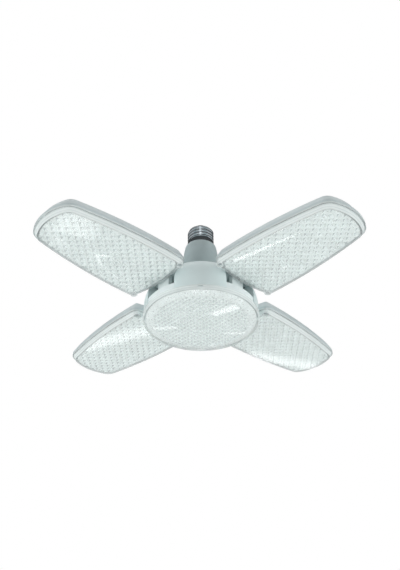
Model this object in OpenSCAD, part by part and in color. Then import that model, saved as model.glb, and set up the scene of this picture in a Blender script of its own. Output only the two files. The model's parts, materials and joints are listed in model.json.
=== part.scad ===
// Foldable garage light: a round hub lamp with four hinged leaf lamps on an E27 screw base.
// The origin is the middle of the centre contact's top face, +Z is the way into the socket,
// and the light hangs below it. Hub heights below are written up from the hub lens rim plane.

/* [Screw base] */
// Contact face to the bottom of the skirt
cap_len = 26.8; // [24:0.1:30]
// Radius over the thread crests
thread_r = 13.15; // [12.9:0.05:13.3]
// Depth of the rolled thread
thread_depth = 1.05; // [0.8:0.05:1.3]
// Thread pitch
thread_pitch = 3.62; // [3.4:0.02:3.8]
// Number of crests
thread_crests = 4; // [3:1:5]
// Height of the plain skirt under the thread
skirt_h = 6.2; // [4:0.1:7]
// Thickness of the shell's sheet metal
shell_t = 0.4; // [0.3:0.05:0.6]
// Radius of the centre contact
contact_r = 4.8; // [4:0.1:5.5]
// Thickness of the centre contact
contact_t = 1.4; // [1:0.1:2]

/* [Neck] */
// Height of the neck's shoulder over the rim plane
neck_top = 82.8; // [78:0.1:90]
// Widest radius of the neck
neck_r = 18; // [17:0.1:20]
// Radius of the neck's top edge, under the skirt
neck_top_r = 13.9; // [13.6:0.1:14.4]
// Wall of the neck
neck_wall = 2; // [1.4:0.1:2.6]
// Radius of the clamping flange inside the dome
flange_r = 27; // [25:0.5:29]
// Thickness of the clamping flange
flange_t = 2; // [1.5:0.1:3]

/* [Hub dome] */
// Outer radius of the dome
dome_r = 54.3; // [53:0.1:56]
// Height of the dome's straight wall
dome_spring = 9.1; // [8:0.1:11]
// Rise of the dome over its straight wall
dome_rise = 40.6; // [38:0.1:43]
// Wall of the dome
dome_wall = 2; // [1.6:0.1:2.4]
// Half width of each hinge pocket
pocket_half = 18; // [16:0.1:19]
// Radius of the cable hole through each pocket's back wall
cable_hole_r = 2.5; // [2:0.1:3]

/* [Hub base] */
// Height of the band seen in each pocket
band_h = 6.5; // [5:0.1:8]
// How far the band lies behind the dome's face
band_back = 0.7; // [0.4:0.1:1.5]
// Thickness of the base plate
plate_t = 2.4; // [2:0.1:3]
// Wall of the base's rim
rim_wall = 2; // [1.6:0.1:2.4]
// Radial gap between dome and base
base_gap = 0.1; // [0.05:0.01:0.3]
// Width of a stop post
post_w = 14; // [10:0.5:20]
// Thickness of a stop post
post_t = 4; // [3:0.1:4.5]
// Gap between a stop post and its leaf
post_gap = 0.3; // [0.2:0.05:0.5]

/* [Hub lens] */
// How far the lens rim stands proud of the dome
lens_lip = 0.4; // [0.2:0.1:0.8]
// Height of the smooth side wall
lens_wall_h = 5.2; // [4:0.1:7]
// Radius of the flat lattice face
lens_face_r = 45; // [40:0.5:48]
// Full depth of the lens under the rim plane
lens_depth = 7.2; // [6.4:0.1:10]
// Thickness of the clear plastic
lens_t = 1.6; // [1.2:0.1:2]

/* [Leaves] */
// How far a leaf's bowed inner edge reaches inside the dome's radius, into the pocket
leaf_reach = 5.5; // [4:0.1:5.6]
// Length of a leaf from its inner edge to its tip
leaf_len = 130.9; // [122:0.1:146]
// Half width of a leaf at its widest
leaf_half_w = 37.5; // [35:0.5:40]
// Distance from a leaf's inner edge to its widest place
leaf_wide = 26.2; // [20:0.5:34]
// Radius of the bowed sides
side_r = 463; // [430:1:560]
// Radius of the tip
tip_r = 50; // [40:1:70]
// Radius of the tip's corners
tip_corner_r = 14; // [11:0.5:17]
// Radius of the inner corners
in_corner_r = 7.5; // [7:0.1:10]
// Radius of the bowed inner edge
in_r = 120; // [100:1:160]
// Height of the shell's upright lip
lip_h = 2; // [1.5:0.1:3]
// Height of the shell's back over the rim plane
back_h = 11; // [9.5:0.1:11.2]
// How far the sloping wall leans in by the back
draft_in = 4.6; // [3.5:0.1:5]
// Wall of the shell
leaf_wall = 2; // [1.6:0.1:2.4]
// Depth of the leaf lens under its rim plane
leaf_lens_h = 5.6; // [4.5:0.1:6.5]
// Distance from the inner edge to the lens screws
lens_screw_in = 8.2; // [7.8:0.1:9]
// Distance from the widest sides to the lens screws
lens_screw_side = 6.2; // [5.8:0.1:7]
// Width of the lens's hooks
hook_w = 6; // [4:0.1:8]
// Number of cooling grooves in the back
groove_count = 7; // [3:2:9]
// Spacing of the cooling grooves
groove_pitch = 6.4; // [5:0.1:6.6]
// Width of a cooling groove
groove_w = 3; // [2:0.1:4]
// Depth of a cooling groove
groove_d = 0.9; // [0.4:0.1:1.1]

/* [Hinges] */
// How far a hinge pin lies inside the dome's radius
hinge_depth = 15.3; // [15.1:0.1:15.5]
// Height of a hinge pin over the hub's rim plane
hinge_z = 26; // [25.5:0.1:26.5]
// Height of a hinge pin over its leaf's rim plane
leaf_rise = 6.3; // [5.8:0.1:6.6]
// Radius of a hinge pin
pin_r = 1.5; // [1.2:0.05:1.6]
// Running clearance round a hinge pin
pin_gap = 0.05; // [0.03:0.01:0.08]
// Radius of the knuckle's barrel
barrel_r = 3.8; // [3.4:0.1:3.9]
// Thickness of each friction washer
washer_t = 1; // [0.6:0.1:1.2]
// Play between a washer and the knuckle
side_play = 0.3; // [0.2:0.05:0.5]
// Length of each stub pin inside the knuckle
pin_grip = 9; // [6:0.5:10]

/* [Light boards] */
// Thickness of the aluminium boards
board_t = 1.6; // [1:0.1:2]
// Length of an LED
led_l = 3.5; // [3:0.1:4]
// Width of an LED
led_w = 2.8; // [2:0.1:3]
// Height of an LED
led_h = 0.7; // [0.5:0.1:0.9]
// LED rows across a leaf
led_rows = 4; // [2:1:4]
// LEDs in each row
led_cols = 9; // [6:1:10]
// Gap between the hub board and the base's rim
hub_board_gap = 4.2; // [2:0.1:6]
// Radius of the hub's inner LED ring
hub_ring_1 = 9.5; // [8.5:0.1:11]
// Radius of the hub's middle LED ring
hub_ring_2 = 19.5; // [17:0.1:21]
// Radius of the circle of the hub board's screws
hub_board_pcr = 27; // [26:0.1:27.5]
// Radius of the wire hole in the hub board
wire_hole_r = 5; // [4:0.1:6]
// Distance from a leaf's inner edge to its board
leaf_board_in = 13.2; // [12:0.1:18]
// Distance from a leaf's tip to its board
leaf_board_out = 9; // [7.5:0.1:14]
// Spacing of the LED rows at the inner end
row_pitch = 14.5; // [13:0.1:15.5]
// Spacing of the LED rows at the tip
row_pitch_tip = 11.3; // [9:0.1:12]

/* [Fixings] */
// Shank radius of the small screws
screw_r = 1.25; // [1:0.05:1.4]
// Head radius of the small screws
head_r = 2.4; // [2:0.1:2.6]
// Head height of the small screws
head_h = 1.5; // [1.2:0.1:2]
// Radius of a screw boss
boss_r = 3.3; // [3.1:0.1:3.6]
// Clearance round a screw in its hole
screw_gap = 0.1; // [0.05:0.01:0.2]

/* [Driver] */
// Width of the driver board
driver_w = 24; // [20:0.5:25]
// Height of the driver board
driver_h = 36; // [30:0.5:38]
// Radius of the large capacitor
capacitor_r = 5; // [4:0.1:5.5]
// Height of the large capacitor
capacitor_h = 18; // [14:0.5:20]
// Width of the inductor's core
core_w = 13; // [11:0.5:14]
// Depth of the inductor's core
core_d = 9; // [8:0.5:9.5]
// Thickness of each of the core's flanges
core_t = 3; // [2:0.1:3.5]
// Height of the winding
coil_h = 7; // [6:0.1:8]
// Radius of the winding
coil_r = 4.2; // [3.6:0.1:4.4]
// Radius of a supply lead
lead_r = 0.7; // [0.5:0.05:0.9]

/* [Hidden] */
$fn = 64;
eps = 0.01;
far = 200;

// Heights over the rim plane
contact_top = neck_top + cap_len;
first_crest = neck_top + skirt_h + thread_pitch * 0.4;
last_crest = first_crest + thread_pitch * (thread_crests - 1);
thread_end = last_crest + thread_pitch * 0.4;
shell_top = thread_end + 0.8;
contact_bottom = contact_top - contact_t;
spigot_top = first_crest + thread_pitch;
spigot_r = thread_r - thread_depth - shell_t - 0.1;
plate_z = board_t;
base_boss_r = boss_r + 0.7;
dome_seat_z = dome_spring + dome_rise - 9.2;
flange_z = dome_seat_z - flange_t;
hinge_s = dome_r - hinge_depth;
pocket_back = hinge_s - barrel_r - 0.4;
post_top = hinge_z - barrel_r - post_gap;
pin_end = pocket_half + dome_wall + 0.5;
knuckle_half = pocket_half - washer_t - side_play;
band_r = dome_r - band_back;
lens_r = dome_r + lens_lip;
leaf_z = hinge_z - leaf_rise;
leaf_in = dome_r - leaf_reach;
leaf_tip = leaf_in + leaf_len;
base_r = dome_r - dome_wall - base_gap;
hub_board_r = base_r - rim_wall - hub_board_gap;
base_screw_pcr = hub_board_r - base_boss_r;
hub_ring_3 = base_screw_pcr - base_boss_r - 4.5;
duct = [0, 8, 4];

// Leaf frame: X runs from the lamp axis out along the leaf, Z is the height over its rim plane
leaf_cavity_h = back_h - leaf_wall - 0.2;
leaf_board_z = 0.6;
board_in = leaf_in + leaf_board_in;
board_tip = leaf_tip - leaf_board_out;
lens_screw_s = leaf_in + lens_screw_in;
lens_screw_u = leaf_half_w - lens_screw_side;
board_screw_s = [board_in + 5, (board_in + board_tip) / 2, board_tip - 5];
leaf_lens_wall = lens_t - 0.2;

// Leaf n of 1 to 4 points this way round the lamp axis
function leaf_turn(n) = -135 + 90 * n;

// ---------- placing ----------
module from_rim() {
    translate([0, 0, -contact_top]) children();
}

module on_leaf(n) {
    from_rim() rotate(leaf_turn(n)) children();
}

module on_leaf_rim(n) {
    on_leaf(n) translate([0, 0, leaf_z]) children();
}

module four_ways(start = 0) {
    for (turn = [0:90:270]) rotate(start + turn) children();
}

// ---------- leaf outline: five arcs that meet smoothly, mirrored about the leaf's middle ----------
side_c = [leaf_in + leaf_wide, leaf_half_w - side_r];
tip_c = [leaf_tip - tip_r, 0];
in_c = [leaf_in + in_r, 0];
tip_corner_c = meet(side_c, side_r - tip_corner_r, tip_c, tip_r - tip_corner_r, -1);
in_corner_c = meet(side_c, side_r - in_corner_r, in_c, in_r - in_corner_r, 1);

// Where circles a and b cross, left or right of the line from a to b
function meet(a, ra, b, rb, hand) =
    let (gap = b - a, d = norm(gap), along = (d * d + ra * ra - rb * rb) / (2 * d),
         off = sqrt(ra * ra - along * along), dir = gap / d)
    a + along * dir + hand * off * [-dir[1], dir[0]];

function bearing(from, to) = atan2(to[1] - from[1], to[0] - from[0]);

function arc(c, r, a0, a1, steps) =
    [for (i = [1:steps]) let (a = a0 + (a1 - a0) * i / steps) c + r * [cos(a), sin(a)]];

function half_outline(inset) =
    let (a1 = bearing(tip_c, tip_corner_c), a2 = bearing(side_c, tip_corner_c),
         a3 = bearing(side_c, in_corner_c), a4 = bearing(in_c, in_corner_c))
    concat([[leaf_tip - inset, 0]],
           arc(tip_c, tip_r - inset, 0, a1, 4),
           arc(tip_corner_c, tip_corner_r - inset, a1, a2, 6),
           arc(side_c, side_r - inset, a2, a3, 8),
           arc(in_corner_c, in_corner_r - inset, a3, a4, 6),
           arc(in_c, in_r - inset, a4, 180, 4));

function outline(inset) =
    let (upper = half_outline(inset), last = len(upper) - 1)
    concat(upper, [for (i = [last - 1:-1:1]) [upper[i][0], -upper[i][1]]]);

// Solid through several insets of the outline; each section is [inset, height]
module loft(sections) {
    rings = [for (section = sections) outline(section[0])];
    n = len(rings[0]);
    top = len(sections) - 1;
    points = [for (k = [0:top]) for (p = rings[k]) [p[0], p[1], sections[k][1]]];
    sides = [for (k = [0:top - 1]) for (i = [0:n - 1])
             let (a = k * n + i, b = k * n + (i + 1) % n)
             for (face = [[a, a + n, b + n], [a, b + n, b]]) face];
    caps = [[for (i = [0:n - 1]) i], [for (i = [n - 1:-1:0]) top * n + i]];
    polyhedron(points, concat(sides, caps));
}

// ---------- round profiles, as [radius, height] ----------
// One rolled ridge: height from the crest's middle, share of the thread depth
ridge = [[-0.36, 1], [-0.29, 0.72], [-0.22, 0.3], [-0.12, 0],
         [0.12, 0], [0.22, 0.3], [0.29, 0.72], [0.36, 1]];

function thread_profile(inward) =
    [for (k = [0:thread_crests - 1]) for (p = ridge)
     [thread_r - inward - thread_depth * p[1], first_crest + thread_pitch * (k + p[0])]];

function reversed(list) = [for (i = [len(list) - 1:-1:0]) list[i]];

// Quarter ellipse from the spring line up to the axis
function dome_profile(r, rise, steps = 30) =
    [for (i = [0:steps]) [r * cos(90 * i / steps), dome_spring + rise * sin(90 * i / steps)]];

module dome_solid(inward = 0) {
    r = dome_r - inward;
    rotate_extrude($fn = 96) polygon(concat([[0, 0], [r, 0]], dome_profile(r, dome_rise - inward)));
}

// ---------- screw base ----------
module screw_shell() {
    skirt_r = thread_r;
    outer = concat([[skirt_r, neck_top], [skirt_r, first_crest - thread_pitch * 0.48],
                    [thread_r - thread_depth, first_crest - thread_pitch * 0.42]],
                   thread_profile(0),
                   [[thread_r - thread_depth, thread_end], [thread_r - thread_depth - 1.2, shell_top]]);
    inner = concat([[skirt_r - shell_t, neck_top], [skirt_r - shell_t, first_crest - thread_pitch * 0.5],
                    [thread_r - thread_depth - shell_t, first_crest - thread_pitch * 0.44]],
                   thread_profile(shell_t),
                   [[thread_r - thread_depth - shell_t, thread_end],
                    [thread_r - thread_depth - 1.2, shell_top - shell_t]]);
    color([0.42, 0.44, 0.45]) from_rim() rotate_extrude() polygon(concat(outer, reversed(inner)));
}

module cap_insulator() {
    seat_r = thread_r - thread_depth - 1.2 - 0.1;
    color([0.08, 0.08, 0.09]) from_rim()
        rotate_extrude()
            polygon([[2.4, shell_top - 3], [seat_r - 1, shell_top - 3], [seat_r, shell_top - 1.6],
                     [seat_r, shell_top], [contact_r + 1.2, contact_bottom], [2.4, contact_bottom]]);
}

module centre_contact() {
    color([0.62, 0.6, 0.55]) from_rim()
        rotate_extrude()
            polygon([[0, shell_top - 3], [2.3, shell_top - 3], [2.3, contact_bottom],
                     [contact_r, contact_bottom], [contact_r, contact_top - 0.6],
                     [contact_r - 0.6, contact_top], [0, contact_top]]);
}

// ---------- neck ----------
module neck_outer(inward = 0) {
    top_r = neck_top_r - inward;
    r = neck_r - inward;
    bulge_z = 56;
    straight = neck_top - 1.6 - bulge_z;
    shoulder = 2.5;
    side = [for (i = [0:10]) [r - shoulder * pow(i / 10, 2), bulge_z + straight * i / 10]];
    rotate_extrude()
        polygon(concat([[0, flange_z], [r, flange_z]], side,
                       [[r - shoulder - 0.5, neck_top - 0.5], [top_r, neck_top], [0, neck_top]]));
}

module neck() {
    rail = [5, 2, driver_h];
    color([0.56, 0.58, 0.6]) from_rim() difference() {
        union() {
            neck_outer();
            translate([0, 0, flange_z]) cylinder(r = flange_r, h = flange_t);
            translate([0, 0, neck_top - 1]) cylinder(r = spigot_r, h = spigot_top - neck_top + 1);
        }
        difference() {
            translate([0, 0, -neck_wall]) neck_outer(neck_wall);
            for (side = [-1, 1]) for (face = [-1, 1])
                translate([side * (driver_w / 2 + 1), face * (board_t / 2 + 1.1), driver_z + driver_h / 2])
                    cube(rail, center = true);
        }
        translate([0, 0, neck_top - 6]) cylinder(r = spigot_r - neck_wall, h = far);
        neck_screw_places() translate([0, 0, flange_z - 1]) screw_hole(flange_t + 2);
    }
}

module neck_screw_places() {
    for (turn = [0:120:240]) rotate(turn) translate([(neck_r + flange_r) / 2 + 0.5, 0, 0]) children();
}

// ---------- driver ----------
driver_z = flange_z + 3;
driver_face = board_t / 2;
part_gap = 0.05;

module driver_board() {
    color([0.1, 0.35, 0.2]) from_rim()
        translate([-driver_w / 2, -board_t / 2, driver_z]) cube([driver_w, board_t, driver_h]);
}

module driver_capacitor() {
    color([0.12, 0.12, 0.16]) from_rim()
        translate([-4.5, -driver_face - part_gap - capacitor_r, driver_z + 8])
            cylinder(r = capacitor_r, h = capacitor_h);
}

module driver_inductor() {
    core = [core_w, core_d, core_t];
    color([0.75, 0.62, 0.2]) from_rim() translate([-core_w / 2, driver_face, driver_z + 8]) {
        cube(core);
        translate([0, 0, core_t + coil_h]) cube(core);
        translate([core_w / 2, core_d / 2, core_t - eps]) cylinder(r = coil_r, h = coil_h + 2 * eps);
    }
}

module driver_parts() {
    rectifier = [6, 2.4, 6];
    chip = [7.5, 3.5, 8];
    film = [10, 4.5, 7];
    fuse_r = 1.5;
    film_top = driver_h - 4;
    color([0.15, 0.15, 0.15]) from_rim() translate([0, 0, driver_z]) {
        translate([3, -driver_face - rectifier[1], 9]) cube(rectifier);
        translate([2.5, -driver_face - chip[1], film_top - chip[2] - 4]) cube(chip);
        translate([-film[0] / 2, driver_face, film_top - film[2]]) cube(film);
        translate([-8, driver_face + part_gap + fuse_r, 3]) rotate([0, 90, 0]) cylinder(r = fuse_r, h = 7);
    }
}

module supply_leads() {
    lead_y = driver_face + part_gap + lead_r;
    lead_x = 8.2;
    start_z = driver_z + driver_h - 3;
    bend_z = spigot_top + 1.5;
    live_top = shell_top - 3;
    shell_in = thread_r - thread_depth - shell_t;
    color([0.75, 0.1, 0.08]) from_rim() {
        translate([0, lead_y, start_z]) cylinder(r = lead_r, h = live_top - start_z);
        translate([lead_x, lead_y, start_z]) cylinder(r = lead_r, h = bend_z - start_z);
        translate([lead_x - lead_r, lead_y, bend_z])
            rotate([0, 90, 0]) cylinder(r = lead_r, h = shell_in - lead_x + 0.3);
    }
}

// ---------- screws ----------
module screw_hole(length) {
    cylinder(r = screw_r + screw_gap, h = length);
}

module screw(length) {
    translate([0, 0, -head_h]) cylinder(r1 = head_r - 0.4, r2 = head_r, h = head_h);
    cylinder(r = screw_r, h = length);
}

module neck_screws() {
    color([0.7, 0.71, 0.72]) from_rim() neck_screw_places() translate([0, 0, flange_z]) screw(flange_t + 4);
}

module base_screws() {
    color([0.7, 0.71, 0.72]) from_rim()
        base_screw_places() translate([0, 0, plate_z + head_h]) screw(plate_t + 6);
}

// ---------- hub ----------
module pocket(extra = 0, bottom = band_h + 0.1) {
    four_ways(45) translate([pocket_back - extra, -pocket_half - extra, bottom])
        cube([far, 2 * (pocket_half + extra), far]);
}

module hub_dome() {
    boss_z = plate_z + head_h + plate_t;
    color([0.86, 0.89, 0.89]) from_rim() difference() {
        intersection() {
            dome_solid();
            union() {
                difference() {
                    dome_solid();
                    translate([0, 0, -eps]) dome_solid(dome_wall);
                }
                pocket(dome_wall);
                base_screw_places() translate([0, 0, boss_z]) cylinder(r = base_boss_r, h = far);
                translate([0, 0, dome_seat_z]) cylinder(r = flange_r, h = far);
            }
        }
        pocket(0, -1);
        translate([0, 0, dome_seat_z - 1]) cylinder(r = neck_r + 0.1, h = far);
        neck_screw_places() translate([0, 0, dome_seat_z - 1]) screw_hole(5.5);
        base_screw_places() screw_hole(boss_z + 8);
        four_ways(45) translate([hinge_s, -pin_end, hinge_z])
            rotate([-90, 0, 0]) cylinder(r = pin_r + 0.02, h = 2 * pin_end);
        four_ways(45) translate([pocket_back - 4, 0, hinge_z])
            rotate([0, 90, 0]) cylinder(r = cable_hole_r, h = 6);
    }
}

module hub_base() {
    floor_half = pocket_half - 0.3;
    color([0.82, 0.85, 0.85]) from_rim() difference() {
        union() {
            translate([0, 0, plate_z]) cylinder(r = base_r, h = plate_t);
            difference() {
                cylinder(r = base_r, h = band_h);
                translate([0, 0, -1]) cylinder(r = base_r - rim_wall, h = band_h + 2);
            }
            four_ways(45) intersection() {
                cylinder(r = band_r, h = band_h);
                union() {
                    translate([pocket_back + 0.2, -floor_half, plate_z]) cube([far, 2 * floor_half, far]);
                    translate([base_r - rim_wall - 1.5, -floor_half, 0]) cube([far, 2 * floor_half, far]);
                }
            }
            four_ways(45) translate([leaf_in - post_gap - 0.5 - post_t, -post_w / 2, plate_z + 1])
                cube([post_t, post_w, post_top - plate_z - 1]);
            base_screw_places() translate([0, 0, plate_z]) cylinder(r = base_boss_r, h = head_h + plate_t);
            hub_board_screw_places() translate([0, 0, plate_z]) cylinder(r = boss_r, h = 6);
            four_ways() lens_hook();
        }
        translate([0, 0, -1]) cylinder(r = wire_hole_r + 1, h = far);
        hub_board_screw_places() translate([0, 0, -1]) screw_hole(7.5);
        base_screw_places() translate([0, 0, -1]) screw_hole(far);
        base_screw_places() translate([0, 0, -1]) cylinder(r = head_r + 0.2, h = plate_z + head_h + 1);
    }
}

// Hook that reaches down inside the lens wall, with a catch in the lens's window
module lens_hook() {
    hook_t = 1.6;
    translate([base_r - hook_t, -hook_w / 2, -3]) cube([hook_t, hook_w, 4]);
    translate([base_r - eps, -hook_w / 2 + 1, -2.8]) cube([hook_t, hook_w - 2, 1.2]);
}

module base_screw_places() {
    four_ways() translate([base_screw_pcr, 0, 0]) children();
}

module hub_board_screw_places() {
    for (turn = [0:120:240]) rotate(turn) translate([hub_board_pcr, 0, 0]) children();
}

module hub_led_board() {
    color([0.93, 0.94, 0.93]) from_rim() difference() {
        cylinder(r = hub_board_r, h = board_t);
        translate([0, 0, -1]) cylinder(r = wire_hole_r, h = board_t + 2);
        hub_board_screw_places() translate([0, 0, -1]) screw_hole(board_t + 2);
        base_screw_places() translate([0, 0, -1]) cylinder(r = base_boss_r + 0.2, h = board_t + 2);
    }
}

module hub_board_screws() {
    color([0.7, 0.71, 0.72]) from_rim() hub_board_screw_places() screw(5.5);
}

module led() {
    translate([-led_l / 2, -led_w / 2, -led_h]) cube([led_l, led_w, led_h]);
}

// Rings of 6, 12 and 18
module hub_leds() {
    ring_r = [hub_ring_1, hub_ring_2, hub_ring_3];
    color([0.95, 0.85, 0.45]) from_rim()
        for (k = [1:3]) for (i = [0:6 * k - 1])
            rotate(60 * i / k + 30 / k) translate([ring_r[k - 1], 0, 0]) led();
}

module hub_lens() {
    wall = lens_t;
    edge_r = lens_r - 0.9;
    window_z = -3;
    color([0.9, 0.95, 0.95], 0.5) from_rim() difference() {
        rotate_extrude($fn = 96)
            polygon([[lens_r, 0], [lens_r, -1.4], [edge_r, -lens_wall_h + 0.4], [edge_r - 0.5, -lens_wall_h],
                     [lens_face_r + 0.6, -lens_depth + 0.1], [lens_face_r, -lens_depth], [0, -lens_depth],
                     [0, -lens_depth + wall], [lens_face_r - 0.3, -lens_depth + wall],
                     [edge_r - wall, -lens_wall_h + wall], [lens_r - wall, -1.4], [lens_r - wall, 0]]);
        four_ways() translate([edge_r - 3, -hook_w / 2 + 0.8, window_z]) cube([8, hook_w - 1.6, 1.6]);
    }
}

// ---------- leaves ----------
module lens_screw_places() {
    for (side = [-1, 1]) translate([lens_screw_s, side * lens_screw_u, 0]) children();
}

module board_screw_places() {
    for (s = board_screw_s) translate([s, 0, 0]) children();
}

module leaf_board_outline() {
    intersection() {
        polygon(outline(in_corner_r - 0.5));
        translate([board_in, -leaf_half_w]) square([board_tip - board_in, 2 * leaf_half_w]);
    }
}

module leaf_outer() {
    loft([[0, 0], [0, lip_h], [draft_in, back_h - 1], [draft_in + 1.1, back_h]]);
}

module tongue_across(r, half, from = 0) {
    translate([hinge_s, from - half, leaf_rise]) rotate([-90, 0, 0]) cylinder(r = r, h = 2 * half);
}

module leaf_shell(n) {
    tongue = leaf_in + 5.5 - hinge_s;
    bore_half = pin_grip / 2 + 0.5;
    boss_top = leaf_cavity_h + 0.5;
    boss_bottom = leaf_board_z + board_t;
    groove_s = leaf_in + 22;
    color([0.86, 0.89, 0.89]) on_leaf_rim(n) difference() {
        union() {
            difference() {
                leaf_outer();
                loft([[leaf_wall, -1], [leaf_wall, lip_h], [draft_in + leaf_wall - 0.6, leaf_cavity_h]]);
            }
            translate([hinge_s, -knuckle_half, leaf_rise - barrel_r])
                cube([tongue, 2 * knuckle_half, 2 * barrel_r]);
            tongue_across(barrel_r, knuckle_half);
            intersection() {
                leaf_outer();
                union() {
                    lens_screw_places() cylinder(r = boss_r, h = boss_top);
                    board_screw_places() translate([0, 0, boss_bottom])
                        cylinder(r = boss_r, h = boss_top - boss_bottom);
                }
            }
        }
        for (side = [-1, 1])
            tongue_across(pin_r + pin_gap, bore_half, side * (knuckle_half - bore_half + 0.5));
        translate([hinge_s - barrel_r - 1, -duct[1] / 2, leaf_rise - duct[2] / 2])
            cube([tongue + barrel_r + 3, duct[1], duct[2]]);
        lens_screw_places() translate([0, 0, -1]) screw_hole(7);
        board_screw_places() screw_hole(7);
        translate([groove_s, -groove_w / 2, back_h - groove_d])
            for (k = [0:groove_count - 1]) translate([0, (k - groove_count / 2 + 0.5) * groove_pitch, 0])
                cube([leaf_tip - groove_s - 30, groove_w, 5]);
        translate([leaf_tip - leaf_wall - 1, -hook_w / 2 - 0.2, 0.2]) cube([2.4, hook_w + 0.4, 1.4]);
    }
}

module leaf_lens(n) {
    face_in = 4;
    color([0.9, 0.95, 0.95], 0.5) on_leaf_rim(n) difference() {
        union() {
            difference() {
                loft([[face_in, -leaf_lens_h], [face_in - 0.6, -leaf_lens_h + 0.3],
                      [1.2, -1.3], [0, -1.2], [0, 0]]);
                loft([[face_in + leaf_lens_wall - 0.4, -leaf_lens_h + leaf_lens_wall],
                      [1.2 + leaf_lens_wall, -1.2], [1.2 + leaf_lens_wall, 1]]);
            }
            lens_screw_places() translate([0, 0, -leaf_lens_h + 0.4])
                cylinder(r = boss_r, h = leaf_lens_h - 0.4);
            translate([leaf_tip - leaf_wall - 2, -hook_w / 2, -3]) cube([1.6, hook_w, 4.4]);
            translate([leaf_tip - leaf_wall - 0.5, -hook_w / 2, 0.4]) cube([1.4, hook_w, 1]);
        }
        lens_screw_places() translate([0, 0, -leaf_lens_h - 1]) screw_hole(far);
        lens_screw_places() translate([0, 0, -leaf_lens_h - 1])
            cylinder(r = head_r + 0.2, h = leaf_lens_h - 0.6);
    }
}

module leaf_lens_screws(n) {
    color([0.7, 0.71, 0.72]) on_leaf_rim(n) lens_screw_places() translate([0, 0, -1.6]) screw(7);
}

module leaf_led_board(n) {
    color([0.93, 0.94, 0.93]) on_leaf_rim(n) difference() {
        translate([0, 0, leaf_board_z]) linear_extrude(board_t) leaf_board_outline();
        board_screw_places() screw_hole(5);
    }
}

module leaf_leds(n) {
    first = board_in + 10;
    step = (board_tip - 9 - first) / (led_cols - 1);
    narrowing = (row_pitch - row_pitch_tip) / (led_cols - 1);
    color([0.95, 0.85, 0.45]) on_leaf_rim(n)
        for (row = [0:led_rows - 1]) for (col = [0:led_cols - 1])
            translate([first + step * col,
                       (row - led_rows / 2 + 0.5) * (row_pitch - narrowing * col), leaf_board_z]) led();
}

module leaf_board_screws(n) {
    color([0.7, 0.71, 0.72]) on_leaf_rim(n) board_screw_places() translate([0, 0, leaf_board_z]) screw(5);
}

module leaf_hinge_pins(n) {
    inner_end = knuckle_half - pin_grip;
    color([0.7, 0.71, 0.72]) on_leaf(n)
        for (side = [-1, 1])
            translate([hinge_s, side > 0 ? inner_end : -pin_end, hinge_z])
                rotate([-90, 0, 0]) cylinder(r = pin_r, h = pin_end - inner_end);
}

module leaf_hinge_washers(n) {
    color([0.3, 0.31, 0.32]) on_leaf(n)
        for (side = [-1, 1])
            translate([hinge_s, side > 0 ? pocket_half - washer_t : -pocket_half, hinge_z])
                rotate([-90, 0, 0]) difference() {
                    cylinder(r = barrel_r - 0.4, h = washer_t);
                    translate([0, 0, -1]) cylinder(r = pin_r + pin_gap, h = washer_t + 2);
                }
}

screw_shell();
cap_insulator();
centre_contact();
neck();
supply_leads();
driver_board();
driver_capacitor();
driver_inductor();
driver_parts();
neck_screws();
hub_dome();
hub_base();
base_screws();
hub_led_board();
hub_leds();
hub_board_screws();
hub_lens();
for (n = [1:4]) {
    leaf_shell(n);
    leaf_lens(n);
    leaf_lens_screws(n);
    leaf_led_board(n);
    leaf_leds(n);
    leaf_board_screws(n);
    leaf_hinge_pins(n);
    leaf_hinge_washers(n);
}
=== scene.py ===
import bpy
import bmesh
import json
import math
from mathutils import Matrix, Vector

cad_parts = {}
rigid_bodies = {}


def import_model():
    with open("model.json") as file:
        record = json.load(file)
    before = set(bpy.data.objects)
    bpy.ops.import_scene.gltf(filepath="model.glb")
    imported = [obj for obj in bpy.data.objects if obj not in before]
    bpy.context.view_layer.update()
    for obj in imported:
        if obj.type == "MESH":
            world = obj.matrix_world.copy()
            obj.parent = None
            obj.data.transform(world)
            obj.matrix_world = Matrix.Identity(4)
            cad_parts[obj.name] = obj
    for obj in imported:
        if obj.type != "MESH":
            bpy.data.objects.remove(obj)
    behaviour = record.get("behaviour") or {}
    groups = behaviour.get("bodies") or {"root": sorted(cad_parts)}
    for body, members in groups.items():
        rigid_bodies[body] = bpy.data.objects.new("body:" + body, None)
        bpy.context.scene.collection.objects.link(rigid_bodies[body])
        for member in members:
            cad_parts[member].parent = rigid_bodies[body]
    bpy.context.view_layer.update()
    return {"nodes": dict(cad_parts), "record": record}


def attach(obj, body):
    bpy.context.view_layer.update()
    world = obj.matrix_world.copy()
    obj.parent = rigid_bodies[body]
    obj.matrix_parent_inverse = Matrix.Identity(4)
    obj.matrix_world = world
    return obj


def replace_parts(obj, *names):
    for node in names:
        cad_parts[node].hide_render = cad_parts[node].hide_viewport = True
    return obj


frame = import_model()
nodes = frame["nodes"]

# Shapes are given in mm and turned into the frame's metres by HUB and leaf_matrix.
# Camera, lights, floor and cards are given in metres.
MM = 0.001
TOP = 109.6        # contact top over the hub's rim plane
LEAF_Z = 19.7      # leaf rim plane over the hub's rim plane
LEAVES = (1, 2, 3, 4)
HUB = Matrix.Translation((0, 0, -TOP * MM)) @ Matrix.Scale(MM, 4)


def leaf_matrix(n):
    """From leaf n's mm, X out along the leaf and Z up from its rim plane, to the frame's metres."""
    return (Matrix.Rotation(math.radians(-135 + 90 * n), 4, "Z")
            @ Matrix.Translation((0, 0, (LEAF_Z - TOP) * MM)) @ Matrix.Scale(MM, 4))


def linked(name, data):
    """A new object of that name, linked into the scene."""
    obj = bpy.data.objects.new(name, data)
    bpy.context.collection.objects.link(obj)
    return obj


# ---------------------------------------------------------------- camera
PICTURE_W, PICTURE_H = 400, 570
FOCUS = 723.43      # focal length in pixels of the picture
SENSOR = 36
CAMERA_AT = (0.0061779, -0.5737671, -0.3675359 - TOP * MM)

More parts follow.
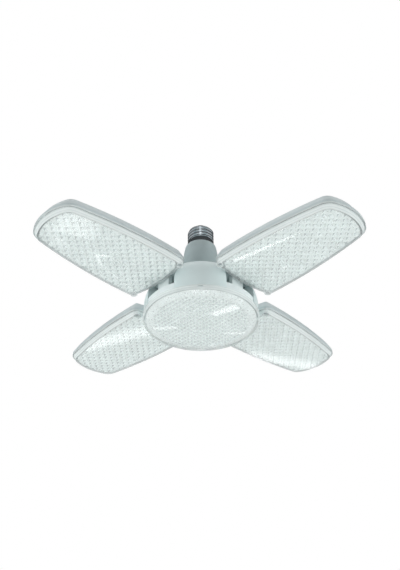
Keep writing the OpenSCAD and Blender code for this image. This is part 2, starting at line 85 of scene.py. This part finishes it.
pitch, yaw, roll = (math.radians(a) for a in (35.2297, -0.7066, -0.2859))
forward = Vector((math.sin(yaw) * math.cos(pitch), math.cos(yaw) * math.cos(pitch),
                  math.sin(pitch)))
right = forward.cross(Vector((0, 0, 1))).normalized()
up = right.cross(forward)
side = math.cos(roll) * right + math.sin(roll) * up
head = -math.sin(roll) * right + math.cos(roll) * up
camera_data = bpy.data.cameras.new("camera")
camera_data.sensor_fit = "AUTO"
camera_data.sensor_width = SENSOR
camera_data.lens = FOCUS / PICTURE_H * SENSOR
camera_data.clip_start = 0.01
camera_data.clip_end = 50
camera = linked("camera", camera_data)
camera.matrix_world = (Matrix.Translation(CAMERA_AT)
                       @ Matrix((side, head, -forward)).transposed().to_4x4())
bpy.context.scene.camera = camera

# ---------------------------------------------------------------- materials
NOISE_DETAIL = 3.0
BUMP_DISTANCE = 0.0001
WAVE_PERIOD = math.pi / 10      # metres between the bands of a wave texture of scale 1
LINE_SPACING = 1.87             # mm between the lines moulded in a cover's wall
LINE_EDGE = (0.02, 0.16)        # the wave's values at which a line ends and the wall begins


class Shader:
    """A Principled material with a small node tree on object coordinates."""

    def __init__(self, name, color, rough, **settings):
        self.material = bpy.data.materials.new(name)
        self.material.use_nodes = True
        self.tree = self.material.node_tree
        self.bsdf = self.tree.nodes["Principled BSDF"]
        self.bsdf.inputs["Base Color"].default_value = (*color, 1)
        self.bsdf.inputs["Roughness"].default_value = rough
        for key, value in settings.items():
            self.bsdf.inputs[key.replace("_", " ")].default_value = value
        self.place = self.node("ShaderNodeTexCoord").outputs["Object"]
        self.color = color

    def node(self, kind, **inputs):
        made = self.tree.nodes.new(kind)
        for key, value in inputs.items():
            made.inputs[key].default_value = value
        return made

    def link(self, a, b):
        self.tree.links.new(a, b)

    def noise(self, scale, stretch=(1, 1, 1)):
        mapping = self.node("ShaderNodeMapping", Scale=stretch)
        noise = self.node("ShaderNodeTexNoise", Scale=scale, Detail=NOISE_DETAIL)
        self.link(self.place, mapping.inputs["Vector"])
        self.link(mapping.outputs["Vector"], noise.inputs["Vector"])
        return noise.outputs["Fac"]

    def ramp(self, source, low, high, start=0.35, stop=0.65):
        """A colour between low and high, as the source goes from start to stop."""
        ramp = self.node("ShaderNodeValToRGB")
        first, last = ramp.color_ramp.elements
        first.position, last.position = start, stop
        first.color, last.color = (*low, 1), (*high, 1)
        self.link(source, ramp.inputs["Fac"])
        return ramp.outputs["Color"]

    def tone(self, scale, spread, stretch=(1, 1, 1)):
        """Base colour varies by that share over noise of that scale."""
        low = [c * (1 - spread) for c in self.color]
        high = [min(1, c * (1 + spread)) for c in self.color]
        self.link(self.ramp(self.noise(scale, stretch), low, high),
                  self.bsdf.inputs["Base Color"])
        return self

    def lines(self, spacing, color):
        """Thin level lines of that colour, spaced by so many mm in height."""
        wave = self.node("ShaderNodeTexWave", Scale=WAVE_PERIOD / (spacing * MM), Distortion=0.0)
        wave.wave_type, wave.bands_direction = "BANDS", "Z"
        self.link(self.place, wave.inputs["Vector"])
        self.link(self.ramp(wave.outputs["Fac"], color, self.color, *LINE_EDGE),
                  self.bsdf.inputs["Base Color"])
        return self

    def grain(self, scale, low, high):
        """Roughness varies between low and high over noise of that scale."""
        self.link(self.ramp(self.noise(scale), [low] * 3, [high] * 3),
                  self.bsdf.inputs["Roughness"])
        return self

    def bump(self, scale, strength, stretch=(1, 1, 1)):
        bump = self.node("ShaderNodeBump", Strength=strength, Distance=BUMP_DISTANCE)
        self.link(self.noise(scale, stretch), bump.inputs["Height"])
        self.link(bump.outputs["Normal"], self.bsdf.inputs["Normal"])
        return self


# One for each material slot of the record
shaders = {
    "cap_metal": Shader("cap_nickel", (0.42, 0.47, 0.5), 0.06, Metallic=1.0)
    .tone(300, 0.05).grain(500, 0.05, 0.11).bump(900, 0.03),
    "cap_black": Shader("cap_glass_black", (0.02, 0.02, 0.024), 0.18, Coat_Weight=0.4)
    .tone(700, 0.25).bump(900, 0.2),
    "contact_metal": Shader("contact_solder", (0.5, 0.49, 0.46), 0.3, Metallic=1.0)
    .tone(900, 0.15).grain(1500, 0.25, 0.5).bump(1800, 0.5),
    "neck_plastic": Shader("neck_grey_plastic", (0.45, 0.54, 0.55), 0.42)
    .tone(120, 0.04).grain(700, 0.38, 0.5).bump(2600, 0.12),
    "housing_white": Shader("housing_white_abs", (0.76, 0.88, 0.88), 0.36)
    .tone(60, 0.025).grain(500, 0.32, 0.44).bump(2600, 0.1),
    "base_white": Shader("base_white_abs", (0.82, 0.9, 0.9), 0.34)
    .tone(80, 0.025).grain(600, 0.3, 0.42).bump(2400, 0.1),
    "leaf_white": Shader("leaf_white_abs", (0.62, 0.71, 0.72), 0.38)
    .tone(50, 0.025).grain(500, 0.34, 0.46).bump(2600, 0.12),
    "light_board": Shader("board_white_lacquer", (0.8, 0.83, 0.82), 0.35)
    .tone(400, 0.03).grain(900, 0.3, 0.42).bump(3000, 0.08),
    "led_chip": Shader("led_phosphor", (0.78, 0.74, 0.52), 0.45)
    .tone(900, 0.06).bump(3000, 0.2),
    "screw_steel": Shader("screw_zinc", (0.42, 0.44, 0.46), 0.3, Metallic=1.0)
    .tone(900, 0.15).grain(1600, 0.22, 0.4).bump(2200, 0.2),
    "washer_rubber": Shader("washer_fibre", (0.06, 0.062, 0.066), 0.7)
    .tone(1200, 0.3).bump(2600, 0.6),
    "driver_green": Shader("solder_mask_green", (0.015, 0.12, 0.05), 0.35)
    .tone(500, 0.3).bump(2000, 0.2),
    "driver_dark": Shader("component_black", (0.02, 0.021, 0.026), 0.4)
    .tone(900, 0.3).bump(2000, 0.3),
    "winding_copper": Shader("winding_enamel", (0.6, 0.3, 0.08), 0.3, Metallic=0.7)
    .tone(900, 0.2, stretch=(0.1, 0.1, 4)).bump(1600, 0.9, stretch=(0.05, 0.05, 3)),
    "lead_red": Shader("lead_red_pvc", (0.5, 0.03, 0.02), 0.4)
    .tone(700, 0.12).bump(2400, 0.1),
    "clear_lens": Shader("lens_clear_cover", (0.86, 0.93, 0.92), 0.05, Alpha=0.26, IOR=1.8,
                         Coat_Weight=1.0, Coat_Roughness=0.03, Coat_IOR=1.6)
    .tone(40, 0.02).bump(260, 0.04),
}
lens_inside = Shader("lens_clear_inside", (0.88, 0.94, 0.93), 0.1, Alpha=0.05).tone(60, 0.02)
# The wall material's emission is a painted glow, standing in for light carried up through the clear
# plastic.
glowing_lens_wall = Shader("lens_clear_wall_painted_glow", (0.84, 0.91, 0.9), 0.12, Alpha=0.75, Coat_Weight=0.4,
                   Coat_Roughness=0.05, Emission_Color=(0.86, 0.93, 0.92, 1),
                   Emission_Strength=0.15)
glowing_lens_wall.grain(500, 0.08, 0.2).bump(900, 0.06).lines(LINE_SPACING, (0.62, 0.7, 0.7))
prism = Shader("lens_prism_layer", (0.88, 0.95, 0.94), 0.3, Metallic=0.5)
prism.tone(90, 0.04).grain(600, 0.26, 0.36).bump(1500, 0.05)
# The darker, glossier copy of the prism layer below is painted shade, put on the prisms' flanks on
# one side.
prism_painted_shade = Shader("lens_prism_painted_shade", (0.66, 0.74, 0.74), 0.12, Metallic=0.6)
prism_painted_shade.tone(90, 0.05).grain(600, 0.08, 0.18).bump(1500, 0.05)

for entry in frame["record"]["subparts"]:
    for place in nodes[entry["node"]].material_slots:
        place.material = shaders[entry["material_slot"]].material

# ---------------------------------------------------------------- mesh helpers
WELD = 2e-6              # metres within which a CAD node's vertices are one
FLAT_WITHIN = 0.4        # degrees within which its faces are one
SHADED_FLANK_SLOPE = 0.3              # least slope toward +X of the prism faces that get painted shade


def on_circle(r, angle, *z):
    return (r * math.cos(angle), r * math.sin(angle), *z)


def skin(bm, rows, closed):
    """Quads between neighbouring rows of vertices, and from the last row to the first.

    closed also joins the last vertex of each row to its first.
    """
    for i, row in enumerate(rows):
        following = rows[(i + 1) % len(rows)]
        for k in range(len(row) if closed else len(row) - 1):
            m = (k + 1) % len(row)
            bm.faces.new((row[k], row[m], following[m], following[k]))


def shade(mesh, degrees):
    """Smooth shading with hard edges above that angle."""
    for polygon in mesh.polygons:
        polygon.use_smooth = True
    mesh.set_sharp_from_angle(angle=math.radians(degrees))


def paint_flank_shade(mesh):
    """Gives the prisms' faces on one side the darker flank material, which is painted shade,
    whichever way the faces point.
    """
    mesh.materials.append(prism_painted_shade.material)
    for polygon in mesh.polygons:
        if polygon.normal.x * (-1 if polygon.normal.z > 0 else 1) > SHADED_FLANK_SLOPE:
            polygon.material_index = 1


def finish_mesh(name, bm, matrix, material, body, degrees=None):
    """Makes a piece of a bmesh in mm: smooth up to so many degrees, or else as flat prisms with
    painted shade on one side's flanks.
    """
    bm.normal_update()
    mesh = bpy.data.meshes.new(name)
    bm.to_mesh(mesh)
    bm.free()
    mesh.transform(matrix)
    obj = linked(name, mesh)
    mesh.materials.append(material)
    if degrees is None:
        paint_flank_shade(mesh)
    else:
        shade(mesh, degrees)
    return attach(obj, body)


def dressed(node, name, body, degrees, bevel=0.0):
    """A smooth-shaded copy of a CAD node, with sharp edges eased by bevel, that stands for it."""
    bm = bmesh.new()
    bm.from_mesh(nodes[node].data)
    bmesh.ops.remove_doubles(bm, verts=bm.verts, dist=WELD)
    bmesh.ops.dissolve_limit(bm, angle_limit=math.radians(FLAT_WITHIN), verts=bm.verts,
                             edges=bm.edges)
    mesh = bpy.data.meshes.new(name)
    bm.to_mesh(mesh)
    bm.free()
    obj = linked(name, mesh)
    mesh.materials.clear()
    mesh.materials.append(nodes[node].material_slots[0].material)
    shade(mesh, degrees)
    if bevel:
        ease = obj.modifiers.new("ease", "BEVEL")
        ease.width = bevel * MM
        ease.segments = 2
        ease.limit_method = "ANGLE"
        ease.angle_limit = math.radians(degrees)
        ease.use_clamp_overlap = True
        ease.harden_normals = True
    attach(obj, body)
    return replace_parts(obj, node)


# ---------------------------------------------------------------- clear covers
UNDER_RIM = -0.01        # height below which a face isn't part of the cover's rim
WALL_SLOPE = 0.75        # share of Z in a normal below which a face is part of a wall


def two_faced(cover, matrix, middle, weights):
    """Gives a cover's inward faces the inside material and its walls the wall material, which has a
    painted glow.

    A face is inward when its normal points toward the middle, with each axis weighted.
    """
    back = matrix.inverted()
    cover.data.materials.append(lens_inside.material)
    cover.data.materials.append(glowing_lens_wall.material)
    for polygon in cover.data.polygons:
        centre = back @ polygon.center
        normal = back.to_3x3() @ polygon.normal
        outward = sum(n * c * w for n, c, w in zip(normal, centre - middle, weights))
        if outward < 0 and centre.z < UNDER_RIM:
            polygon.material_index = 1
        elif abs(normal.normalized().z) < WALL_SLOPE:
            polygon.material_index = 2


# ---------------------------------------------------------------- leaf outline, as in the source
LEAF_IN, LEAF_TIP = 48.8, 179.7            # inner edge and tip, from the lamp's axis
HALF_W, WIDE = 37.5, 75.0                  # greatest half width, and where along the leaf
SIDE_R, TIP_R, IN_R = 463.0, 50.0, 120.0   # radii of sides, tip and inner edge
TIP_CORNER, IN_CORNER = 14.0, 7.5          # radii of the corners between them


def meet(a, ra, b, rb, hand):
    """Where circles about a and b cross, on the left of the way from a to b for hand 1."""
    gap = b - a
    d = gap.length
    along = (d * d + ra * ra - rb * rb) / (2 * d)
    off = math.sqrt(ra * ra - along * along)
    e = gap / d
    return a + along * e + hand * off * Vector((-e.y, e.x))


def bearing(a, b):
    return math.atan2(b.y - a.y, b.x - a.x)


side_c = Vector((WIDE, HALF_W - SIDE_R))
tip_c = Vector((LEAF_TIP - TIP_R, 0))
in_c = Vector((LEAF_IN + IN_R, 0))
tip_corner_c = meet(side_c, SIDE_R - TIP_CORNER, tip_c, TIP_R - TIP_CORNER, -1)
in_corner_c = meet(side_c, SIDE_R - IN_CORNER, in_c, IN_R - IN_CORNER, 1)


def outline(inset):
    """Convex outline of a leaf, anticlockwise from its tip, inset by that many mm."""
    a1, a2 = bearing(tip_c, tip_corner_c), bearing(side_c, tip_corner_c)
    a3, a4 = bearing(side_c, in_corner_c), bearing(in_c, in_corner_c)
    arcs = ((tip_c, TIP_R, 0, a1, 4), (tip_corner_c, TIP_CORNER, a1, a2, 6),
            (side_c, SIDE_R, a2, a3, 8), (in_corner_c, IN_CORNER, a3, a4, 6),
            (in_c, IN_R, a4, math.pi, 4))
    points = [Vector((LEAF_TIP - inset, 0))]
    for centre, r, start, stop, steps in arcs:
        for i in range(1, steps + 1):
            a = start + (stop - start) * i / steps
            points.append(centre + (r - inset) * Vector(on_circle(1, a)))
    return points + [Vector((p.x, -p.y)) for p in points[-2:0:-1]]


# ---------------------------------------------------------------- moulded prisms
PRISM_TURN = math.radians(45)
CROWN = 0.1              # width of a prism's flat top, as a share of the pitch
EDGE_FADE = 1.0          # width along the border over which the prisms grow to their height
PRISM_WELD = 0.002       # distance within which the prisms' vertices are one
CORNERS = ((-1, -1), (1, -1), (1, 1), (-1, 1))

LEAF_PRISM_INSET = 5.15
SCREW_X, SCREW_Y = 57.0, 31.3        # lens screws, in the leaf's frame
SCREW_GAP = 3.5                      # from a screw's axis to the prisms
HUB_PRISM_R = 44.3


def cut(polygon, point, normal):
    """Keeps the part of a polygon of 3-D points on the normal's side of a line, seen in plan."""
    kept = []
    for i, a in enumerate(polygon):
        b = polygon[(i + 1) % len(polygon)]
        da = (a.x - point.x) * normal.x + (a.y - point.y) * normal.y
        db = (b.x - point.x) * normal.x + (b.y - point.y) * normal.y
        if da >= 0:
            kept.append(a)
        if (da >= 0) != (db >= 0):
            kept.append(a.lerp(b, da / (da - db)))
    return kept


def clipped(polygon, planes):
    """What is left of a polygon inside all the planes, or nothing."""
    for point, normal in planes:
        polygon = cut(polygon, point, normal)
        if len(polygon) < 3:
            return []
    return polygon


def half_planes(border):
    """A point and an inward normal for each side of an anticlockwise border."""
    planes = []
    for i, a in enumerate(border):
        d = (border[(i + 1) % len(border)] - a).normalized()
        planes.append((a, Vector((-d.y, d.x))))
    return planes


def prism_sheet(bm, planes, pitch, base, rise, ground, reach):
    """Square pyramids over a convex border, up from base by rise.

    ground is a pyramid's width as a share of the pitch, reach the border's farthest point.
    """
    spin = Matrix.Rotation(PRISM_TURN, 2)
    count = int(reach / pitch) + 2
    levels = ((0.5, 0), (ground / 2, 0), (CROWN / 2, rise))
    for i in range(-count, count + 1):
        for j in range(-count, count + 1):
            centre = spin @ Vector((i * pitch, j * pitch))
            if any((centre - p).dot(n) < -pitch for p, n in planes):
                continue
            rings = [[(*(spin @ Vector(((i + x * half) * pitch, (j + y * half) * pitch))), h)
                      for x, y in CORNERS] for half, h in levels]
            faces = [rings[-1]]
            for a, b in zip(rings, rings[1:]):
                faces += [[a[k], a[(k + 1) % 4], b[(k + 1) % 4], b[k]] for k in range(4)]
            for face in faces:
                placed = []
                for p in clipped([Vector(corner) for corner in face], planes):
                    depth = min((p.xy - q).dot(n) for q, n in planes)
                    growth = min(1, max(0, depth / EDGE_FADE))
                    placed.append(bm.verts.new((p.x, p.y, base + p.z * growth)))
                if placed:
                    bm.faces.new(placed)
    bmesh.ops.remove_doubles(bm, verts=bm.verts, dist=PRISM_WELD)


def leaf_prisms(n):
    planes = half_planes(outline(LEAF_PRISM_INSET))
    for s in (1, -1):
        inwards = Vector((0.78, -0.63 * s))
        planes.append((Vector((SCREW_X, SCREW_Y * s)) + inwards * SCREW_GAP, inwards))
    bm = bmesh.new()
    prism_sheet(bm, planes, pitch=6.0, base=-4.17, rise=1.7, ground=0.82, reach=200)
    finish_mesh(f"leaf_{n}_prisms", bm, leaf_matrix(n), prism.material, f"leaf_{n}")


def hub_prisms():
    ring = [Vector(on_circle(HUB_PRISM_R, math.radians(a))) for a in range(0, 360, 5)]
    bm = bmesh.new()
    prism_sheet(bm, half_planes(ring), pitch=4.2, base=-5.57, rise=1.4, ground=0.86, reach=46)
    finish_mesh("hub_prisms", bm, HUB, prism.material, "hub")


def hub_ribs():
    """Ribbed bevel round the hub's prisms: panels with grooves between them."""
    panels = 36
    profile = ((44.4, -5.57), (46.2, -5.35), (49.0, -4.65), (51.4, -4.0), (52.0, -3.7))
    # degrees from a panel's start, and how far the profile's middle is lifted there
    offsets = ((0.0, 0.45), (0.45, 0.0), (3.3, -0.12), (6.7, -0.12), (9.55, 0.0))
    bm = bmesh.new()
    rows = []
    for panel in range(panels):
        for extra, lift in offsets:
            a = math.radians(panel * 360 / panels + extra)
            lifts = (0, lift, lift, lift, 0)
            rows.append([bm.verts.new(on_circle(r, a, z + dz))
                         for (r, z), dz in zip(profile, lifts)])
    skin(bm, rows, closed=False)
    finish_mesh("hub_ribs", bm, HUB, prism.material, "hub", degrees=12)


# ---------------------------------------------------------------- threaded cap
def thread_shell():
    """The rolled shell of the screw base, with its helical thread."""
    pitch, depth, root, crest = 3.62, 1.05, 12.1, 13.15
    roundness = 0.85                     # of the thread's wave, 1 for a cosine
    first, last = 90.448, 101.308        # heights of the first and last crest
    thread_from, run_in = first - 1.6, 0.9         # where the thread starts, and grows
    thread_to, run_out = last + 1.25, 1.1          # where it ends, and fades
    bottom, top = 82.8, 102.7
    collar_top, collar_r = first - 1.75, crest - 0.02      # the plain collar below it
    edge_rise, edge_in = 0.35, 0.12      # rounding of the collar's lower edge
    around, levels = 120, 90
    sheet, inner_r, mouth_r = 0.4, 12.75, 12.65    # thickness, and radii inside the collar
    # radius and height of the lip rolled over the top edge, from outside to inside
    lip = ((11.75, 102.95), (11.2, 103.35), (10.9, 103.5), (10.9, 103.15), (11.35, 102.75))

    def radius(angle, z):
        if z <= collar_top:
            return collar_r
        phase = ((z - first) / pitch - angle / (2 * math.pi)) % 1.0
        wave = (0.5 + 0.5 * math.cos(2 * math.pi * phase)) ** roundness
        growth = max(0, min(1, (z - thread_from) / run_in))
        fade = max(0, min(1, (thread_to - z) / run_out))
        return root + depth * wave * growth * fade

    start = first - 1.7
    heights = [bottom, bottom + edge_rise, first - 2.3, collar_top - 0.01]
    heights += [start + (top - start) * i / levels for i in range(levels + 1)]
    angles = [2 * math.pi * k / around for k in range(around)]
    rings = [[(radius(a, z), z) for a in angles] for z in heights]
    rings[0] = [(r - edge_in, z) for r, z in rings[0]]
    inside = [[(min(r - sheet, inner_r), z) for r, z in ring] for ring in rings[-2:0:-1]]
    rings += [[point] * around for point in lip] + inside + [[(mouth_r, bottom)] * around]
    bm = bmesh.new()
    rows = [[bm.verts.new(on_circle(r, a, z)) for a, (r, z) in zip(angles, ring)]
            for ring in rings]
    skin(bm, rows, closed=True)
    bmesh.ops.recalc_face_normals(bm, faces=bm.faces)
    obj = finish_mesh("cap_threaded_shell", bm, HUB, shaders["cap_metal"].material, "hub",
                      degrees=40)
    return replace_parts(obj, "screw_shell")


# ---------------------------------------------------------------- the lamp
for n in LEAVES:
    body = f"leaf_{n}"
    dressed(f"leaf_{n}_shell", f"leaf_{n}_housing", body, degrees=25, bevel=0.35)
    leaf_cover = dressed(f"leaf_{n}_lens", f"leaf_{n}_cover", body, degrees=30)
    two_faced(leaf_cover, leaf_matrix(n), middle=Vector((115.0, 0, 0)), weights=(0.35, 1, 3))
    leaf_prisms(n)

dressed("hub_dome", "hub_dome_housing", "hub", degrees=25, bevel=0.3)
dressed("hub_base", "hub_base_tray", "hub", degrees=28, bevel=0.25)
hub_cover = dressed("hub_lens", "hub_cover", "hub", degrees=22)
two_faced(hub_cover, HUB, middle=Vector((0, 0, 0)), weights=(1, 1, 3))
dressed("neck", "neck_housing", "hub", degrees=28, bevel=0.25)
hub_prisms()
hub_ribs()
thread_shell()

# ---------------------------------------------------------------- floor and background
FLOOR_Z = -1
FLOOR_HALF = 6
# Brightness that reflections and diffuse light see, from straight down at 0 to straight up at 1
SKY = ((0.0, 1.0), (0.3, 0.9), (0.46, 0.3), (0.52, 0.12), (0.84, 0.1), (0.9, 0.7), (1.0, 0.9))


def level_square(name, half, z):
    mesh = bpy.data.meshes.new(name)
    mesh.from_pydata([(x * half, y * half, z) for x, y in CORNERS], [], [(0, 1, 2, 3)])
    return linked(name, mesh)


def fresh_tree(owner):
    """The emptied node tree of a new world or material."""
    owner.use_nodes = True
    owner.node_tree.nodes.clear()
    return owner.node_tree


floor = level_square("floor", FLOOR_HALF, FLOOR_Z)
floor.data.materials.append(Shader("floor_pale", (0.86, 0.86, 0.86), 0.8).tone(3, 0.01).material)


def studio():
    """A world that is white to the camera and has the sky's ramp for all other rays."""
    world = bpy.data.worlds.new("studio")
    bpy.context.scene.world = world
    tree = fresh_tree(world)
    make, link = tree.nodes.new, tree.links.new
    coords, split = make("ShaderNodeTexCoord"), make("ShaderNodeSeparateXYZ")
    scale = make("ShaderNodeMath")
    scale.operation = "MULTIPLY_ADD"      # from -1..1 to 0..1
    scale.inputs[1].default_value = 0.5
    scale.inputs[2].default_value = 0.5
    ramp = make("ShaderNodeValToRGB")
    elements = ramp.color_ramp.elements
    for element, (position, value) in zip(elements, (SKY[0], SKY[-1])):
        element.position, element.color = position, (value, value, value, 1)
    for position, value in SKY[1:-1]:
        elements.new(position).color = (value, value, value, 1)
    sky, plain = make("ShaderNodeBackground"), make("ShaderNodeBackground")
    plain.inputs["Color"].default_value = (1, 1, 1, 1)
    rays, mix = make("ShaderNodeLightPath"), make("ShaderNodeMixShader")
    out = make("ShaderNodeOutputWorld")
    link(coords.outputs["Generated"], split.inputs["Vector"])
    link(split.outputs["Z"], scale.inputs[0])
    link(scale.outputs[0], ramp.inputs["Fac"])
    link(ramp.outputs["Color"], sky.inputs["Color"])
    link(rays.outputs["Is Camera Ray"], mix.inputs["Fac"])
    link(sky.outputs["Background"], mix.inputs[1])
    link(plain.outputs["Background"], mix.inputs[2])
    link(mix.outputs["Shader"], out.inputs["Surface"])


studio()
bpy.context.scene.view_settings.view_transform = "Standard"

# ---------------------------------------------------------------- lights
MIDDLE = (0, 0, -0.08)        # of the lamp
CAP = (0, 0, -0.015)          # middle of the threaded cap


def softbox(name, place, target, size, watts, size_y=None, glossy=True, diffuse=True):
    data = bpy.data.lights.new(name, "AREA")
    data.shape = "RECTANGLE"
    data.size = size
    data.size_y = size_y or size
    data.energy = watts
    lamp = linked(name, data)
    lamp.location = place
    aim = Vector(target) - Vector(place)
    lamp.rotation_euler = aim.to_track_quat("-Z", "Y").to_euler()
    lamp.visible_camera = False
    lamp.visible_glossy = glossy
    lamp.visible_diffuse = diffuse


softbox("under_left", (-0.8, 0.1, -0.94), (-0.8, 0.1, 0), 1.5, 0.8, size_y=2.4)
softbox("under_right", (0.8, 0.1, -0.94), (0.8, 0.1, 0), 1.5, 0.4, size_y=2.4)
softbox("left", (-1.3, -0.2, -0.3), MIDDLE, 0.8, 6.5, glossy=False)
softbox("right", (1.3, -0.2, -0.2), MIDDLE, 0.8, 6.5, glossy=False)
softbox("front", (0.1, -1.3, -0.3), MIDDLE, 1.3, 1.7, glossy=False)
softbox("crests", (0.02, -1.5, -0.5), CAP, 0.45, 3, diffuse=False)
sun = bpy.data.lights.new("overhead", "SUN")
sun.energy = 1.4
sun.angle = math.radians(30)
overhead = linked("overhead", sun)
overhead.rotation_euler = (math.radians(-14), math.radians(-10), 0)
overhead.visible_glossy = False

# ---------------------------------------------------------------- glowing cards
CARD_Z = -0.9                      # height of the cards, in metres
LEAF_FACE = (110, 0, -5.6)         # a point of a leaf cover's face, in the leaf's mm
HUB_FACE = -7.2                    # height of the hub cover's face, in the hub's mm
BEVEL_R, BEVEL_SLOPE = 45.2, 0.247     # where the face's bevel starts, and its rise per mm
BEVEL_OUT, BEVEL_DOWN = 0.24, 0.97     # parts of the bevel's normal

covers = bpy.data.collections.new("covers")
for obj in bpy.data.objects:
    if obj.name.endswith("_cover"):
        covers.objects.link(obj)


def view_ray(x, y):
    """Direction of the camera's ray through a point of the picture."""
    return (side * ((x + 0.5 - PICTURE_W / 2) / FOCUS)
            + head * ((PICTURE_H / 2 - y - 0.5) / FOCUS) + forward).normalized()


def mirrored(x, y, leaf):
    """The point at the cards' height that the camera sees at (x, y) of the picture, mirrored in
    the flat face of that leaf's cover, or in the bevel of the hub's cover for None."""
    start = camera.matrix_world.translation
    ray = view_ray(x, y)
    if leaf:
        plane = leaf_matrix(leaf)
        point = plane @ Vector(LEAF_FACE)
        normal = (plane.to_3x3() @ Vector((0, 0, -1))).normalized()
        hit = start + ray * ((point - start).dot(normal) / ray.dot(normal))
    else:
        level = HUB_FACE
        for _ in range(12):        # the level and the point hit settle on each other
            hit = start + ray * (((level - TOP) * MM - start.z) / ray.z)
            level = HUB_FACE + max(0, hit.xy.length / MM - BEVEL_R) * BEVEL_SLOPE
        outwards = Vector((hit.x, hit.y, 0)).normalized()
        normal = outwards * BEVEL_OUT + Vector((0, 0, -1)) * BEVEL_DOWN
    away = ray - 2 * ray.dot(normal) * normal
    return hit + away * ((CARD_Z - hit.z) / away.z)


def glow_material(name, strength, fade, disc):
    """Emission that falls to nothing toward the card's far edge, or toward a disc's rim."""
    glow = bpy.data.materials.new(name)
    tree = fresh_tree(glow)
    make, link = tree.nodes.new, tree.links.new
    coords = make("ShaderNodeTexCoord")
    if disc:
        measure = make("ShaderNodeVectorMath")
        measure.operation = "LENGTH"
        source = measure.outputs["Value"]
    else:
        measure = make("ShaderNodeSeparateXYZ")
        source = measure.outputs["Y"]
    ramp = make("ShaderNodeMapRange")
    ramp.inputs["From Min"].default_value = 1 - fade * (1 if disc else 2)
    ramp.inputs["From Max"].default_value = 1
    ramp.inputs["To Min"].default_value = strength
    ramp.inputs["To Max"].default_value = 0
    emit, out = make("ShaderNodeEmission"), make("ShaderNodeOutputMaterial")
    link(coords.outputs["Object"], measure.inputs[0])
    link(source, ramp.inputs["Value"])
    link(ramp.outputs["Result"], emit.inputs["Strength"])
    link(emit.outputs["Emission"], out.inputs["Surface"])
    return glow


def card(name, leaf, centre, along, across, strength, fade, disc=False):
    """A card below the lamp that only the covers see, as a highlight there in the picture."""
    c, a, b = Vector(centre), Vector(along), Vector(across)
    place = mirrored(*c, leaf)
    first = (mirrored(*(c + a), leaf) - mirrored(*(c - a), leaf)) / 2
    second = (mirrored(*(c + b), leaf) - mirrored(*(c - b), leaf)) / 2
    obj = level_square(name, 1, 0)
    obj.matrix_world = Matrix(((first.x, second.x, 0, place.x), (first.y, second.y, 0, place.y),
                               (0, 0, 1, place.z), (0, 0, 0, 1)))
    obj.data.materials.append(glow_material(name, strength, fade, disc))
    obj.visible_camera = obj.visible_diffuse = False
    obj.visible_shadow = obj.visible_transmission = False
    obj.light_linking.receiver_collection = covers


card("card_near_right", 1, (253, 251), (29, -24), (-9, -8), 6, 0.4)
card("card_near_left", 4, (74, 228), (27, 12), (-14, 24), 4, 0.6, disc=True)
card("card_far_left", 3, (116, 336), (28, -15), (-3, -6), 5, 0.5)
card("card_far_right", 2, (283, 359), (30, 10), (2, -5), 5, 0.5)
card("card_hub_panels", None, (200, 296), (20, -1), (0, 4), 5, 0.3)
